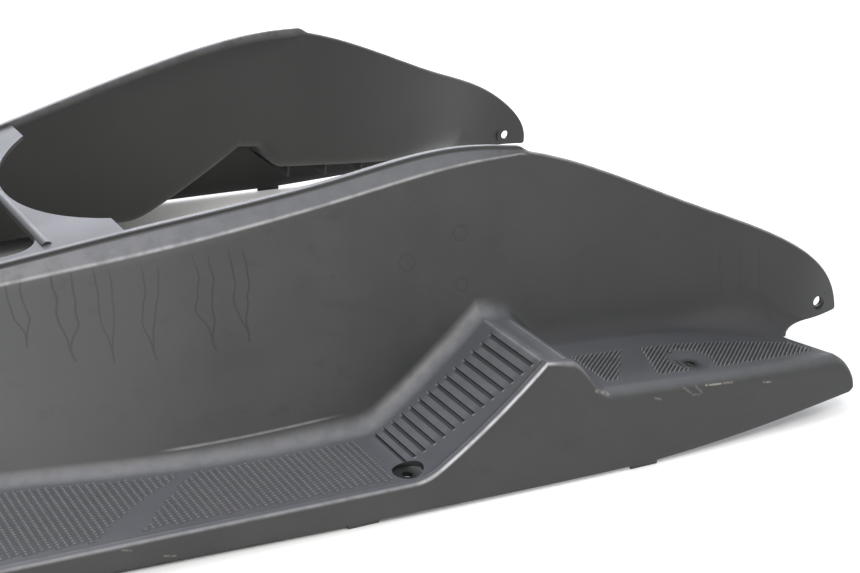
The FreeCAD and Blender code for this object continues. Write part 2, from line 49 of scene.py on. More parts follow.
# Places along the length
x_tunnel = rear - 562.0
x_roof_edge = rear - 487.0
x_ramp_foot = rear - 365.0
x_ramp_top = rear - 284.0
x_crest = rear - 277.0
x_hump_end = rear - 267.0
x_peak = rear - 247.0
x_platform = rear - 239.0
x_rise = rear - 212.0
x_wing = rear - 112.0
x_widen = rear - 145.0
x_sweep = rear - 66.0
x_platform_end = rear - 42.0
x_nose = rear - 36.0
x_ear = rear - 21.0

# Heights of the foot surface
foot_height = 17.0
floor_front = 9.0
floor_ramp = 18.5
ramp_sag = 2.5
ramp_foot_bend = 9.0
hump_height = 75.5
hump_end_height = 73.5
platform_height = 52.0
platform_end_height = 40.0
tab_drop = 2.5

# Round hollow, rim, lip and edge sizes
cove_floor = 14.0
cove_platform = 32.0
cove_ear = 3.0
rim_width = 5.0
rim_height = 1.2
rim_round = 2.2
rim_slope = 1.2
soft_rim_width = 9.0
soft_rim_height = 0.1
soft_rim_round = 7.0
skirt_lean = 10.0
lip_width = 4.5
lip_width_peak = 2.0
lip_step = 2.5
lip_round = 0.6
lip_depth = 6.5
band_drop = 9.5
band_drop_peak = 4.5
edge_round = 0.9
bottom_round = 0.5

# Wing outline from peak to tip, and the ear at its end
peak_height = 172.0
crest_rise = 3.4
wing_lead = 20.0
wing_height = 124.5
ear_top = 81.0
ear_bulge = (rear - 4.5, 62.0)
x_ear_hole = rear - 18.8
ear_hole_height = 52.5
ear_hole_radius = 3.75
ear_seat_radius = 5.65
ear_seat_depth = 1.2
ear_boss_radius = 8.0
ear_boss_depth = 3.6
ear_boss_round = 0.3
ear_under = 41.6
ear_tip = 43.5
ear_tip_round = 2.0

# Grooves of the ramp
groove_count = 14
groove_width = 1.9
groove_depth = 1.2
groove_inner = 206.0
groove_outer_foot = 245.0
groove_outer_top = 254.0
x_groove_first = rear - 366.0
x_groove_last = rear - 288.5

# Screw seats
x_screw = rear - 369.0
screw_width = 254.0
screw_hole_radius = 3.25
screw_seat_radius = 9.5
screw_seat_depth = 2.5
screw_seat_flare = 0.4
screw_boss_radius = 12.5
x_dish = rear - 157.0
dish_width = 241.0
dish_radius = 14.0
dish_depth = 2.8
boss_round = 0.5
boss_overlap = 0.2

# Swept rear edge of the platform, its corner, and the round nose at the end of the skirt
sweep_inner = (x_sweep, 226.0)
sweep_outer = (rear - 50.0, 261.0)
corner_middle = (rear - 40.0, 266.5)
corner_end = (x_nose, 278.0)
skirt_rise = 13.0
skirt_rise_middle = 5.2
nose_top = (rear - 52.0, 41.0)
nose_middle = (rear - 41.5, 34.0)
nose_end = (x_nose, 22.4)
nose_low = (rear - 37.8, 18.3)
nose_least = 2.5

# Roof bridge
roof_corner_width = 87.0
roof_hollow = 38.5
bar_width = 6.5
bar_rise = 2.0
bar_half_length = 94.0
bar_inset = 0.3
opening_length = 134.0
opening_rear_width = 95.0
opening_front_width = 72.0
opening_round = 14.0

# Gussets, and the tabs that the part rests on
gusset_count = 4
x_gusset_first = rear - 232.0
gusset_pitch = 34.0
gusset_thickness = 2.0
gusset_height = 13.0
gusset_round = 0.3
tab_count = 4
x_tab_first = rear - 214.0
tab_pitch = 192.0
tab_length = 20.0
tab_inset = 0.8
tab_thickness = 1.9
tab_round = 0.4

# Grip fields, and the edges of the smooth bands in them, each at its inner and its outer end
grip_gap_wall = 2.0
grip_gap_rim = 5.0
grip_gap_end = 13.0
grip_gap_rear = 5.0
grip_gap_dish = 1.0
grip_sunk = 0.1
floor_band_ahead = (rear - 486.0, rear - 558.0)
floor_band_behind = (rear - 481.0, rear - 530.0)
platform_band_ahead = (rear - 192.0, rear - 224.0)
platform_band_behind = (rear - 178.0, rear - 194.0)

# Grip points of the lower floor and grip ribs of the platform
point_pitch_x = 4.3
point_pitch_y = 2.7
point_height = 1.0
point_base_share = 0.96
point_top_share = 0.2
rib_pitch = 2.4
rib_step = 1.5
rib_height = 0.95
rib_top_share = 0.3
rib_way = (0.758, 0.652)
rib_reach = 165.0

# Colours of the plastic, of what lies on it, and of the painted shade, sheen and highlight on it
plastic_dark = (0.033, 0.035, 0.034, 1)
plastic_pale = (0.047, 0.049, 0.048, 1)
patch_colour = (0.024, 0.026, 0.026, 1)
dust_and_sheen_colour = (0.46, 0.47, 0.57, 1)
inner_shade_colour = (0.023, 0.022, 0.020, 1)
rear_shade_colour = (0.018, 0.019, 0.019, 1)
water_colour = (0.012, 0.013, 0.013, 1)
seat_shade_colour = (0.010, 0.011, 0.011, 1)
painted_shade_colour = (0.010, 0.010, 0.011, 1)
wear_and_highlight_colour = (0.62, 0.62, 0.63, 1)
scrape_colour = (0.42, 0.40, 0.34, 1)


class Run:
    """Natural smooth curve through values at places, straight beyond both ends."""

    def __init__(self, places, values):
        self.places = np.array(places, float)
        self.values = np.array(values, float)
        count = len(places)
        gaps = np.diff(self.places)
        chords = np.diff(self.values) / gaps
        system = np.eye(count)
        turn = np.zeros(count)
        for i in range(1, count - 1):
            system[i, i - 1 : i + 2] = gaps[i - 1], 2 * (gaps[i - 1] + gaps[i]), gaps[i]
            turn[i] = 6 * (chords[i] - chords[i - 1])
        self.bend = np.linalg.solve(system, turn)

    def __call__(self, x):
        x = np.asarray(x, float)
        i = np.clip(np.searchsorted(self.places, x) - 1, 0, len(self.places) - 2)
        span = self.places[i + 1] - self.places[i]
        a = np.clip((self.places[i + 1] - x) / span, 0, 1)
        b = 1 - a
        left, right = self.bend[i], self.bend[i + 1]
        value = a * self.values[i] + b * self.values[i + 1]
        value = value + ((a ** 3 - a) * left + (b ** 3 - b) * right) * span ** 2 / 6
        chord = (self.values[i + 1] - self.values[i]) / span
        before = np.minimum(x - self.places[0], 0)
        beyond = np.maximum(x - self.places[-1], 0)
        return value + (chord - span * right / 6) * before + (chord + span * left / 6) * beyond


side_places = [front, x_tunnel, x_roof_edge, x_ramp_foot, x_peak, x_wing, x_ear, rear]
lip_places = [front, x_tunnel, x_roof_edge, x_ramp_foot, x_crest, x_peak]
foot_run = Run(side_places, [130.0, 174.0, 191.0, 196.5, 197.0, 200.0, 214.5, 209.5])
lean_run = Run(side_places, [34.0, 34.0, 28.5, 17.5, 13.4, 12.0, 11.3, 11.3])
skirt_run = Run(side_places, [250.0, 264.0, 268.0, 274.5, 278.0, 276.0, 272.0, 272.0])
lip_y = Run(lip_places, [76.0, 100.0, 114.3, 140.0, 149.5, 157.0])
lip_z = Run(lip_places, [85.0, 119.0, 134.7, 161.4, peak_height + crest_rise, peak_height + lip_step])


def share(x, start, end):
    return (x - start) / (end - start)


def smooth(x, start, end):
    """0 before start, 1 after end, and smooth between them."""
    u = np.clip(share(x, start, end), 0, 1)
    return u * u * (3 - 2 * u)


def blend(a, b, u):
    return a + (b - a) * u


def arc_points(a, b, c, count):
    """Points in a plane on the arc from a through b to c."""
    a, b, c = (np.array(p, float) for p in (a, b, c))
    system = 2 * np.array([b - a, c - a])
    centre = np.linalg.solve(system, [b @ b - a @ a, c @ c - a @ a])
    radius = np.linalg.norm(a - centre)
    angles = [math.atan2(*(p - centre)[::-1]) for p in (a, b, c)]
    angles = np.unwrap(angles)
    turn = np.linspace(angles[0], angles[2], count)
    return centre + radius * np.column_stack([np.cos(turn), np.sin(turn)])


def curve_through(points, count):
    """Points on the smooth curve through points, spaced by their distances."""
    points = np.array(points, float)
    steps = np.concatenate([[0], np.cumsum(np.linalg.norm(np.diff(points, axis=0), axis=1))])

    def terms(t):
        powers = [t ** k for k in range(4)]
        bends = [np.maximum(t - knot, 0) ** 3 for knot in steps[2:-2]]
        return np.column_stack(powers + bends)

    return terms(np.linspace(0, steps[-1], count)) @ np.linalg.solve(terms(steps), points)


wing_line = curve_through(
    [
        (x_peak - wing_lead, peak_height + wall),
        (x_peak, peak_height),
        (x_wing, wing_height),
        (x_ear, ear_top),
        ear_bulge,
        (rear, ear_tip + ear_tip_round),
    ],
    400,
)
skirt_end = tab_drop + skirt_rise
rise_middle = ((x_rise + x_platform_end) / 2, tab_drop + skirt_rise_middle)
rise_line = np.vstack(
    [
        arc_points((x_rise, tab_drop), rise_middle, (x_platform_end, skirt_end), 60),
        arc_points((x_platform_end, skirt_end), nose_low, nose_end, 12)[1:],
    ]
)
nose_line = arc_points(nose_top, nose_middle, nose_end, 40)


def wing_top(x):
    return np.interp(x, wing_line[:, 0], wing_line[:, 1])


def skirt_low(x):
    return np.interp(x, rise_line[:, 0], rise_line[:, 1])


def nose_z(x):
    """Height of the round nose, far above everything ahead of it."""
    return np.where(x < nose_top[0], peak_height, np.interp(x, nose_line[:, 0], nose_line[:, 1]))


def lean_slope(x):
    return np.tan(np.radians(lean_run(x)))


def wall_y(x, z):
    return foot_run(x) - (z - foot_height) * lean_slope(x)


def skirt_y(x, z):
    return skirt_run(x) - (z - tab_drop) * math.tan(math.radians(skirt_lean))


ear_y = float(wall_y(x_ear_hole, ear_hole_height))


def ramp_z(x):
    u = share(x, x_ramp_foot, x_ramp_top)
    return blend(floor_ramp, hump_height, u) - ramp_sag * 4 * u * (1 - u)


def lower_floor_z(x):
    return blend(floor_front, floor_ramp, share(x, front, x_ramp_foot))


def floor_z(x):
    """Height of the foot surface: floor, ramp, hump, dip and platform."""
    x = np.asarray(x, float)
    bend_start = x_ramp_foot - ramp_foot_bend
    bend_end = x_ramp_foot + ramp_foot_bend
    lift = ramp_z(bend_end) - lower_floor_z(bend_end)
    bend = lower_floor_z(x) + lift * share(x, bend_start, bend_end) ** 2
    hump = blend(hump_height, hump_end_height, share(x, x_ramp_top, x_hump_end))
    fall = (1 - np.cos(np.pi * np.clip(share(x, x_hump_end, x_platform), 0, 1))) / 2
    dip = blend(hump_end_height, platform_height, fall)
    flat = blend(platform_height, platform_end_height, share(x, x_platform, x_platform_end))
    places = [x <= bend_start, x <= bend_end, x <= x_ramp_top, x <= x_hump_end, x <= x_platform]
    return np.select(places, [lower_floor_z(x), bend, ramp_z(x), hump, dip], flat)


def floor_slope(x):
    return (floor_z(x + wall / 2) - floor_z(x - wall / 2)) / wall


def onto_platform(x, usual, on_platform):
    return blend(usual, on_platform, smooth(x, x_ramp_top, x_platform))


def towards_peak(x, usual, at_peak):
    u = np.clip(share(x, x_ramp_foot, x_peak), 0, 1)
    return blend(usual, at_peak, u ** 3)


def behind_peak(x):
    """0 where the top edge is a lip, 1 where it is the plain edge of the wing."""
    return smooth(x, x_peak - 1, x_peak + 9)


def top_z(x):
    """Height of the top edge: the lip up to the peak, the wing outline behind it."""
    return blend(lip_z(x), wing_top(x), behind_peak(x))


def cove_radius(x):
    """Radius of the round hollow, widest at the swept edge and run out towards the ear."""
    wide = blend(cove_floor, cove_platform, smooth(x, x_widen, x_sweep))
    u = np.clip(share(x, x_sweep, x_ear), 0, 1)
    return blend(wide, cove_ear, u * (2 - u))


def cove_centre(x, z, inset, radius):
    """Centre of the round hollow between the foot surface and the tunnel wall."""
    lean = np.arctan(lean_slope(x))
    tangent = radius * np.tan((np.pi / 2 - lean) / 2)
    return wall_y(x, z) - inset + tangent, z + radius


def wall_across(x):
    """Thickness of the leaning wall, measured level."""
    return wall * np.sqrt(1 + lean_slope(x) ** 2)


def rim_z(x):
    return np.minimum(floor_z(x) + onto_platform(x, rim_height, soft_rim_height), nose_z(x))


def bottom_z(x):
    return np.minimum(skirt_low(x), rim_z(x) - nose_least)


def stations():
    """Places of the sections along the length, and how deep each lies in a groove."""
    bend_start = x_ramp_foot - ramp_foot_bend
    half = groove_width / 2
    spacings = [
        (front, bend_start, 4.0),
        (bend_start, x_groove_first - half, 1.5),
        (x_hump_end + 1, x_platform + 10, 1.5),
        (x_platform + 10, nose_top[0], 3.0),
        (nose_top[0], x_nose, 1.0),
        (x_nose, x_ear, 2.0),
    ]
    stretches = [np.arange(start, end, spacing) for start, end, spacing in spacings]
    stretches.append(np.linspace(x_groove_last + 3, x_ramp_top, 3))
    for crease in (x_ramp_top, x_hump_end):
        stretches.append(crease + np.array([-0.8, 0.0, 0.8]))
    stretches.append(np.array([x_crest]))
    stretches.append(blend(x_ear, rear, np.sin(np.linspace(0, math.pi / 2, 24))))
    grooves = np.linspace(x_groove_first, x_groove_last, groove_count)
    stretches.append((grooves[1:] + grooves[:-1]) / 2)
    for side in (-1, 1):
        stretches.append(grooves + side * (half + 0.15))
        stretches.append(grooves + side * (half - 0.2))
    places = np.unique(np.round(np.concatenate(stretches), 4))
    nearest = np.min(np.abs(places[:, None] - grooves[None, :]), axis=1)
    return places, (nearest < half).astype(float)


def on_ramp(x):
    return smooth(x, x_ramp_foot - 12, x_ramp_foot + 6) * (1 - smooth(x, x_ramp_top - 2, x_ramp_top + 8))


def on_step(x):
    return smooth(x, x_ramp_top + 4, x_platform)


def at_front(x):
    return 1 - smooth(x, x_tunnel - 20, x_ramp_foot)


class Sections:
    """Closed sections of one side at the places x, built row by row round the shell.

    A row holds one point of every section: its Y, Z, tone and depth in a groove. The tone is above zero where
    an edge is pale from wear and painted highlight, and below zero where painted shade darkens grooves, the
    lip step or the hollow on the platform.
    """

    def __init__(self, x):
        self.x = x
        self.rows = []

    def add(self, y, z, tone=0.0, depth=0.0):
        self.rows.append([np.broadcast_to(value, self.x.shape) for value in (y, z, tone, depth)])

    def run_to(self, y, z, count, tone=0.0):
        """Adds points at even steps from the last one on."""
        last_y, last_z = self.rows[-1][:2]
        for u in np.linspace(0, 1, count + 1)[1:]:
            self.add(blend(last_y, y, u), blend(last_z, z, u), tone)

    def grid(self):
        """Arrays of X, Y, Z and tone, one row for each section, with the grooves sunk into the surface."""
        y, z, tone, depth = (np.array([row[i] for row in self.rows]).T for i in range(4))
        tilt = np.arctan(floor_slope(self.x))[:, None]
        x = self.x[:, None] + depth * groove_depth * np.sin(tilt)
        return x, y, z - depth * groove_depth * np.cos(tilt), tone


def add_skirt(part, x):
    """Skirt from its bottom edge up, then the rim down to its foot."""
    rim_top, low = rim_z(x), bottom_z(x)
    edge = np.minimum(onto_platform(x, rim_round, soft_rim_round), 0.7 * (rim_top - low))
    # Tone of the rounded rim edge: wear and painted highlight, strongest along the ramp; the rim top and its
    # inner slope get painted highlight too, more at the front
    edge_wear_and_highlight = 0.3 + 0.7 * on_ramp(x) - 0.26 * on_step(x)
    part.add(skirt_y(x, low) - 2 * bottom_round, low)
    part.add(skirt_y(x, low) - 0.3 * bottom_round, low + 0.3 * bottom_round, 0.1)
    part.add(skirt_y(x, low + bottom_round), low + bottom_round)
    end = rim_top - edge
    part.run_to(skirt_y(x, end), end, 9)
    for u in np.linspace(0, 1, 7)[1:]:
        angle = u * math.pi / 2
        z = end + edge * math.sin(angle)
        part.add(skirt_y(x, z) - edge * (1 - math.cos(angle)), z, edge_wear_and_highlight * math.sin(2 * angle) ** 2)
    rim_out = skirt_y(x, rim_top) - edge
    rim_in = skirt_y(x, rim_top) - onto_platform(x, rim_width, soft_rim_width)
    rim_low = np.minimum(floor_z(x), rim_top)
    drop = rim_top - rim_low
    part.add(blend(rim_out, rim_in, 0.6), rim_top, 0.1 * edge_wear_and_highlight + 0.08 * at_front(x))
    part.add(rim_in + 0.3, rim_top, 0.15 + 0.08 * at_front(x) - 0.12 * on_step(x))
    part.add(rim_in - 0.3, rim_top - 0.25 * drop, 0.3 * (1 - on_step(x)))
    part.add(rim_in - rim_slope + 0.2, rim_low + 0.1 * drop)
    part.add(rim_in - rim_slope - 0.5, rim_low)


def add_foot_surface(part, x, sunk):
    """Foot surface from the rim to the round hollow, with lines along both ends of the grooves."""
    z = floor_z(x)
    cove_y = cove_centre(x, z, 0.0, cove_radius(x))[0]
    rim_foot = part.rows[-1][0]
    groove_share = np.clip(share(x, x_groove_first, x_groove_last), 0, 1)
    outer = np.minimum(blend(groove_outer_foot, groove_outer_top, groove_share), rim_foot - 2.0)
    inner = np.minimum(np.maximum(groove_inner, cove_y + 0.8), outer - 4)
    # Painted highlight along the creases at the ramp top and hump end and at the outer end of each groove,
    # painted shade in the grooves, and the bars between grooves a little paler
    crease = sum(np.exp(-(((x - place) / 0.7) ** 2)) for place in (x_ramp_top, x_hump_end))
    wear_and_highlight = 0.3 * crease
    groove_shade = wear_and_highlight - 0.55 * sunk
    part.run_to(outer + 1.2, z, 3, wear_and_highlight)
    part.add(outer + 0.4, z, wear_and_highlight + 0.8 * sunk)
    part.add(outer - 0.4, z, groove_shade, sunk)
    for u in np.linspace(0, 1, 11)[1:-1]:
        part.add(blend(outer - 0.4, inner + 0.6, u), z, groove_shade + 0.07 * on_ramp(x) * (1 - sunk), sunk)
    part.add(inner + 0.6, z, groove_shade, sunk)
    part.add(inner - 0.6, z, wear_and_highlight)
    part.add(cove_y, z, 0.2 * crease)


def add_cove(part, x):
    """Round hollow and the foot of the tunnel wall."""
    lean, radius = np.arctan(lean_slope(x)), cove_radius(x)
    cove_y, cove_z = cove_centre(x, floor_z(x), 0.0, radius)
    # Along the hollow, a pale band of dust and painted highlight on the lower floor and ramp, turning to
    # painted shade on the platform
    for u in np.linspace(0, 1, 11)[1:]:
        angle = -np.pi / 2 - u * (np.pi / 2 - lean)
        dust_highlight_and_shade = math.sin(math.pi * u) * blend(0.14, -0.75, on_step(x))
        part.add(cove_y + radius * np.cos(angle), cove_z + radius * np.sin(angle), dust_highlight_and_shade)
    # Painted highlight just above the hollow behind the roof edge
    behind_roof = smooth(x, x_roof_edge - 12, x_roof_edge + 8)
    shine = 0.3 * behind_roof * (1 - smooth(x, x_ramp_foot - 40, x_ramp_foot - 12))
    start = cove_z - radius * np.sin(lean)
    for rise, tone in ((0.6, shine), (1.2, shine), (2.0, 0.0)):
        part.add(wall_y(x, start + rise), start + rise, tone)


def add_top_edge(part, x):
    """Tunnel wall and what tops it: shoulder band, step and lip, or the plain round edge of the wing."""
    thick, r = wall_across(x), edge_round
    top = top_z(x)
    shoulder = top - towards_peak(x, band_drop, band_drop_peak)
    corner = wall_y(x, shoulder)
    inside = lip_y(np.minimum(x, x_peak))
    step_y = inside + towards_peak(x, lip_width, lip_width_peak)
    step_z = top - lip_step
    below = np.minimum(shoulder, top - lip_depth) - lip_round
    # Painted highlight at the shoulder corner and on the lip top, wear and painted sheen on the shoulder
    # band, painted shade on the step, and wear and painted highlight along the plain round edge of the wing
    band_wear_and_sheen = 0.05 + 0.16 * at_front(x)
    step_shade = blend(-0.8, -0.2, smooth(x, x_roof_edge, x_peak))
    lip_set = [
        (wall_y(x, shoulder - 1.4), shoulder - 1.4, 0.0),
        (corner - 0.15, shoulder - 0.1, 0.55),
        (blend(corner, step_y, 0.14), blend(shoulder, step_z, 0.14), band_wear_and_sheen),
        (blend(corner, step_y, 0.9), blend(shoulder, step_z, 0.9), band_wear_and_sheen),
        (step_y + 0.35, blend(shoulder, step_z, 0.97), 0.6 * step_shade),
        (step_y, step_z + 0.3, step_shade),
        (step_y, top - lip_round, 0.6 * step_shade),
        (step_y - lip_round, top, 0.22),
        (inside + lip_round, top, 0.14),
        (inside, top - lip_round, 0.2),
        (inside, top - lip_depth, 0.0),
        (wall_y(x, below) - thick, below, 0.0),
    ]

    def face(inset, levels):
        return [(wall_y(x, top - k * r) - inset, top - k * r, tone) for k, tone in levels]

    plain_set = [
        *face(0.0, ((4, 0.0), (2, 0.0), (1.5, 0.12), (1, 0.25))),
        (wall_y(x, top - 0.6 * r) - 0.13 * r, top - 0.5 * r, 0.45),
        (wall_y(x, top) - 0.4 * r, top - 0.15 * r, 0.5),
        (wall_y(x, top) - r, top, 0.4),
        (wall_y(x, top) - thick + r, top, 0.4),
        (wall_y(x, top) - thick + 0.3 * r, top - 0.3 * r, 0.4),
        *face(thick, ((1, 0.2), (2, 0.0), (4, 0.0))),
    ]
    pairs = zip(lip_set, plain_set)
    points = [[blend(a, b, behind_peak(x)) for a, b in zip(lip, plain)] for lip, plain in pairs]
    part.run_to(*points[0][:2], 24)
    for point in points[1:]:
        part.add(*point)


def add_inner_faces(part, x):
    """Inner faces back down to the bottom edge."""
    low, thick, lean = bottom_z(x), wall_across(x), np.arctan(lean_slope(x))
    radius = cove_radius(x) + wall
    under = floor_z(x) - wall * np.sqrt(1 + floor_slope(x) ** 2)
    inner_y, inner_z = cove_centre(x, under, thick, radius)
    end = np.minimum(inner_z - radius * np.sin(lean), part.rows[-1][1] - 0.5)
    part.run_to(wall_y(x, end) - thick, end, 16)
    for u in np.linspace(1, 0, 7)[1:]:
        angle = -np.pi / 2 - u * (np.pi / 2 - lean)
        part.add(inner_y + radius * np.cos(angle), inner_z + radius * np.sin(angle))
    skirt_thick = wall / math.cos(math.radians(skirt_lean))
    rim_under = np.maximum(np.minimum(under, rim_z(x) - wall), low + 2 * bottom_round)
    part.run_to(skirt_y(x, rim_under) - skirt_thick, rim_under, 6)
    part.run_to(skirt_y(x, low) - skirt_thick, low + bottom_round, 6)
    part.add(skirt_y(x, low) - skirt_thick + bottom_round, low)


def placed(name, data):
    """New object in the scene."""
    item = bpy.data.objects.new(name, data)
    bpy.context.scene.collection.objects.link(item)
    return item


def new_object(name, vertices, faces, tones=None):
    """Mesh object from vertices in millimetres, with the tone of each where it is given."""
    mesh = bpy.data.meshes.new(name)
    mesh.from_pydata((np.asarray(vertices, float) * MM).tolist(), [], faces)
    mesh.validate()
    if tones is not None:
        layer = mesh.attributes.new("tone", "FLOAT", "POINT")
        layer.data.foreach_set("value", np.asarray(tones, np.float32))
    return placed(name, mesh)


def band(start, end, count):
    """Faces between two rings of points, each numbered on from its start."""
    return [(start + i, start + (i + 1) % count, end + (i + 1) % count, end + i) for i in range(count)]


def loft(start, sections, count):
    """Faces of a closed body through rings of points that are numbered on from a start."""
    last = start + (sections - 1) * count
    faces = []
    for ring in range(start, last, count):
        faces += band(ring, ring + count, count)
    return [*faces, tuple(range(start, start + count))[::-1], tuple(range(last, last + count))]


ring_points = 48


def rings(profile, centre, axis):
    """Points of the rings round an axis line, one ring for each (radius, height) pair."""
    axis = Vector(axis).normalized()
    side = axis.orthogonal().normalized()
    other = axis.cross(side)
    points = []
    for radius, height in profile:
        for i in range(ring_points):
            angle = 2 * math.pi * i / ring_points
            spoke = side * math.cos(angle) + other * math.sin(angle)
            points.append(Vector(centre) + axis * height + spoke * radius)
    return points


def prism(name, base, direction):
    """Closed prism on a plane outline."""
    base = np.asarray(base, float)
    vertices = np.vstack([base, base + np.asarray(direction, float)])
    return tidy_normals(new_object(name, vertices, loft(0, 2, len(base))))


def turned(name, profile, centre, axis):
    """Body of revolution, with a hole, from (radius, height) pairs round an axis line."""
    faces = []
    for k in range(len(profile)):
        n = (k + 1) % len(profile)
        faces += band(k * ring_points, n * ring_points, ring_points)
    return tidy_normals(new_object(name, rings(profile, centre, axis), faces))


def drum(name, radii, centre, axis, height):
    """Closed round cutter with a radius at each end."""
    ends = ((radii[0], 0.0), (radii[1], height))
    return tidy_normals(new_object(name, rings(ends, centre, axis), loft(0, 2, ring_points)))


def tidy_normals(item):
    work = bmesh.new()
    work.from_mesh(item.data)
    bmesh.ops.recalc_face_normals(work, faces=work.faces)
    work.to_mesh(item.data)
    work.free()
    return item


def cut_away(item, cutters):
    """Cuts the cutters out of an object, one after another, and removes them."""
    for cutter in cutters:
        tool = item.modifiers.new("cut", "BOOLEAN")
        tool.operation = "DIFFERENCE"
        tool.solver = "MANIFOLD"
        tool.object = cutter
    scene_state = bpy.context.evaluated_depsgraph_get()
    mesh = bpy.data.meshes.new_from_object(item.evaluated_get(scene_state))
    item.modifiers.clear()
    item.data = mesh
    for cutter in cutters:
        bpy.data.objects.remove(cutter)
    return item


def join(name, items):
    """One object from several, in the order given."""
    work = bmesh.new()
    for item in items:
        work.from_mesh(item.data)
        bpy.data.objects.remove(item)
    mesh = bpy.data.meshes.new(name)
    work.to_mesh(mesh)
    work.free()
    return placed(name, mesh)


def add_mirror(item):
    """Adds the other side, alike about the middle plane."""
    work = bmesh.new()
    work.from_mesh(item.data)
    copied = bmesh.ops.duplicate(work, geom=work.verts[:] + work.edges[:] + work.faces[:])["geom"]
    for part in copied:
        if isinstance(part, bmesh.types.BMVert):
            part.co.y = -part.co.y
    bmesh.ops.reverse_faces(work, faces=[p for p in copied if isinstance(p, bmesh.types.BMFace)])
    work.to_mesh(item.data)
    work.free()
    return item


def soften(item, angle):
    """Smooth shading with sharp edges above the angle."""
    mesh = item.data
    mesh.polygons.foreach_set("use_smooth", [True] * len(mesh.polygons))
    mesh.set_sharp_from_angle(angle=math.radians(angle))
    return item


def bevelled(item, width):
    """Small round on all sharp edges of a simple body."""
    work = bmesh.new()
    work.from_mesh(item.data)
    sharp = [e for e in work.edges if e.is_manifold and e.calc_face_angle(0) > math.radians(40)]
    bmesh.ops.bevel(work, geom=sharp, offset=width * MM, segments=2, profile=0.5, affect="EDGES")
    work.to_mesh(item.data)
    work.free()
    return item


def box(name, low, high):
    (x0, y0, z0), (x1, y1, z1) = low, high
    base = [(x0, y0, z0), (x1, y0, z0), (x1, y1, z0), (x0, y1, z0)]
    return prism(name, base, (0, 0, z1 - z0))


def shell_cutters():
    """What is cut from one side: under the ear, behind the platform, and the screw seats."""
    reach = 40.0
    low = -reach
    tip_soft = ear_tip_round * (1 - math.sqrt(0.5))
    tip = arc_points(
        (rear - ear_tip_round, ear_tip),
        (rear - tip_soft, ear_tip + tip_soft),
        (rear, ear_tip + ear_tip_round),
        8,
    )
    beyond = rear + reach
    line = [(x_sweep, low), (x_sweep, ear_under), *tip, (beyond, ear_tip + ear_tip_round), (beyond, low)]
    under_ear = prism("under_ear", [(x, 0, z) for x, z in line], (0, sweep_inner[1], 0))
    corner = arc_points(sweep_outer, corner_middle, corner_end, 16)
    edge_y = corner_end[1] + reach
    overlap = sweep_inner[1] - 0.1
    plan = [(x_sweep, overlap), sweep_inner, *corner, (x_nose, edge_y), (beyond, edge_y), (beyond, overlap)]
    behind = prism("behind", [(x, y, low) for x, y in plan], (0, 0, peak_height))
    up = (0, 0, 1)
    seat_radii = (screw_seat_radius - screw_seat_flare, screw_seat_radius + screw_seat_flare)
    seat_place = (x_screw, screw_width, float(floor_z(x_screw)) - screw_seat_depth)
    seat = drum("seat", seat_radii, seat_place, up, reach)
    hole = drum("hole", (screw_hole_radius,) * 2, (x_screw, screw_width, low), up, 2 * reach)
    wide = dish_radius * (1 + wall / dish_depth)
    dish_place = (x_dish, dish_width, float(floor_z(x_dish)) - dish_depth)
    dish = drum("dish", (screw_hole_radius, wide), dish_place, up, dish_depth + wall)
    dish_hole = drum("dish_hole", (screw_hole_radius,) * 2, (x_dish, dish_width, low), up, 3 * reach)
    out = (0, 1, 0)
    ear_place = (x_ear_hole, ear_y - ear_seat_depth, ear_hole_height)
    ear_seat = drum("ear_seat", (ear_seat_radius,) * 2, ear_place, out, reach)
    hole_place = (x_ear_hole, ear_y - reach, ear_hole_height)
    ear_hole = drum("ear_hole", (ear_hole_radius,) * 2, hole_place, out, 2 * reach)
    return [under_ear, behind, seat, hole, dish, dish_hole, ear_seat, ear_hole]


def make_shell():
    """The thin shell of both sides."""
    places, sunk = stations()
    part = Sections(places)
    add_skirt(part, places)
    add_foot_surface(part, places, sunk)
    add_cove(part, places)
    add_top_edge(part, places)
    add_inner_faces(part, places)
    x, y, z, tone = part.grid()
    vertices = np.column_stack([x.ravel(), y.ravel(), z.ravel()])
    shell = new_object("floorboard_shell", vertices, loft(0, *x.shape), tone.ravel())
    tidy_normals(shell)
    cut_away(shell, shell_cutters())
    return soften(add_mirror(shell), 38)


